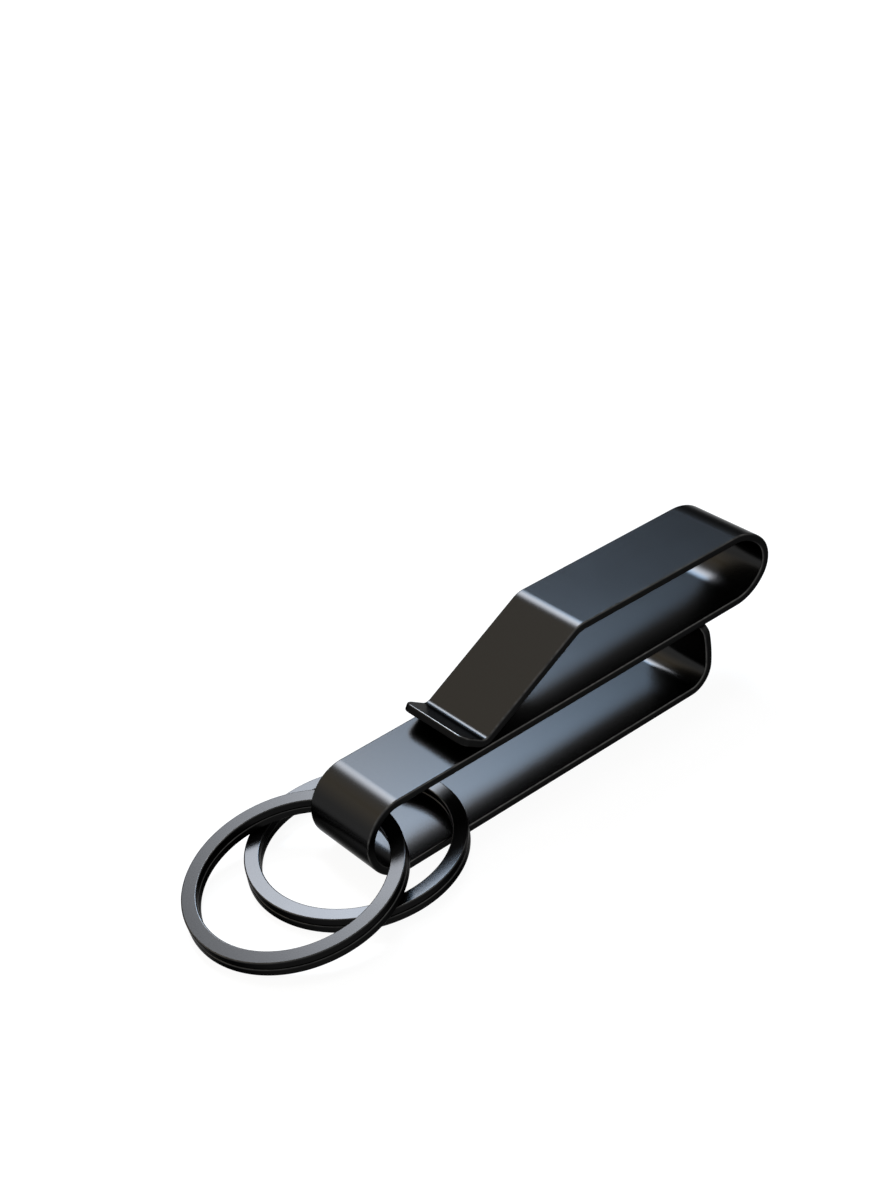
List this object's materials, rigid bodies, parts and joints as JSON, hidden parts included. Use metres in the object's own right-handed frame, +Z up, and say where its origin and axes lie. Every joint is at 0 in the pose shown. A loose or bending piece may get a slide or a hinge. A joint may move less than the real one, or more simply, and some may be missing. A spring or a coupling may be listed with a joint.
{
  "type": "belt key clip",
  "caption": "Bent spring-steel strip with an upper loop that hooks over a belt and a lower loop that carries split key rings.",
  "frame": {"origin": "middle of the flat underside that the clip lies on", "axes": "+X along the strip from the rings to the belt bend, +Y across the strip, +Z up"},
  "size_m": [0.0973, 0.031, 0.0222],
  "materials": {
    "strip": "satin black coating on spring steel",
    "front_ring": "satin black coating on spring wire",
    "rear_ring": "satin black coating on spring wire"
  },
  "bodies": {
    "key_leaf": {"key_leaf": "strip"},
    "middle_leaf": {"middle_leaf": "strip"},
    "belt_arm": {"belt_arm": "strip"},
    "front_key_ring": {"front_key_ring": "front_ring"},
    "rear_key_ring": {"rear_key_ring": "rear_ring"}
  },
  "joints": [
    {"name": "key_gate_flex", "type": "hinge", "parent": "key_leaf", "child": "middle_leaf", "pos_m": [-0.032, 0, 0.0059], "axis": [0, -1, 0], "range_deg": [0, 4], "stiffness_Nm_per_rad": 6},
    {"name": "belt_arm_flex", "type": "hinge", "parent": "middle_leaf", "child": "belt_arm", "pos_m": [0.04245, 0, 0.01625], "axis": [0, 1, 0], "range_deg": [0, 6], "stiffness_Nm_per_rad": 6},
    {"name": "front_ring_swing", "type": "hinge", "parent": "key_leaf", "child": "front_key_ring", "pos_m": [-0.0261, 0, 0.0059], "axis": [0, 1, 0], "range_deg": [0, 140]},
    {"name": "rear_ring_slide", "type": "slide", "parent": "key_leaf", "child": "rear_key_ring", "axis": [1, 0, 0], "range_m": [0, 0.009]}
  ]
}
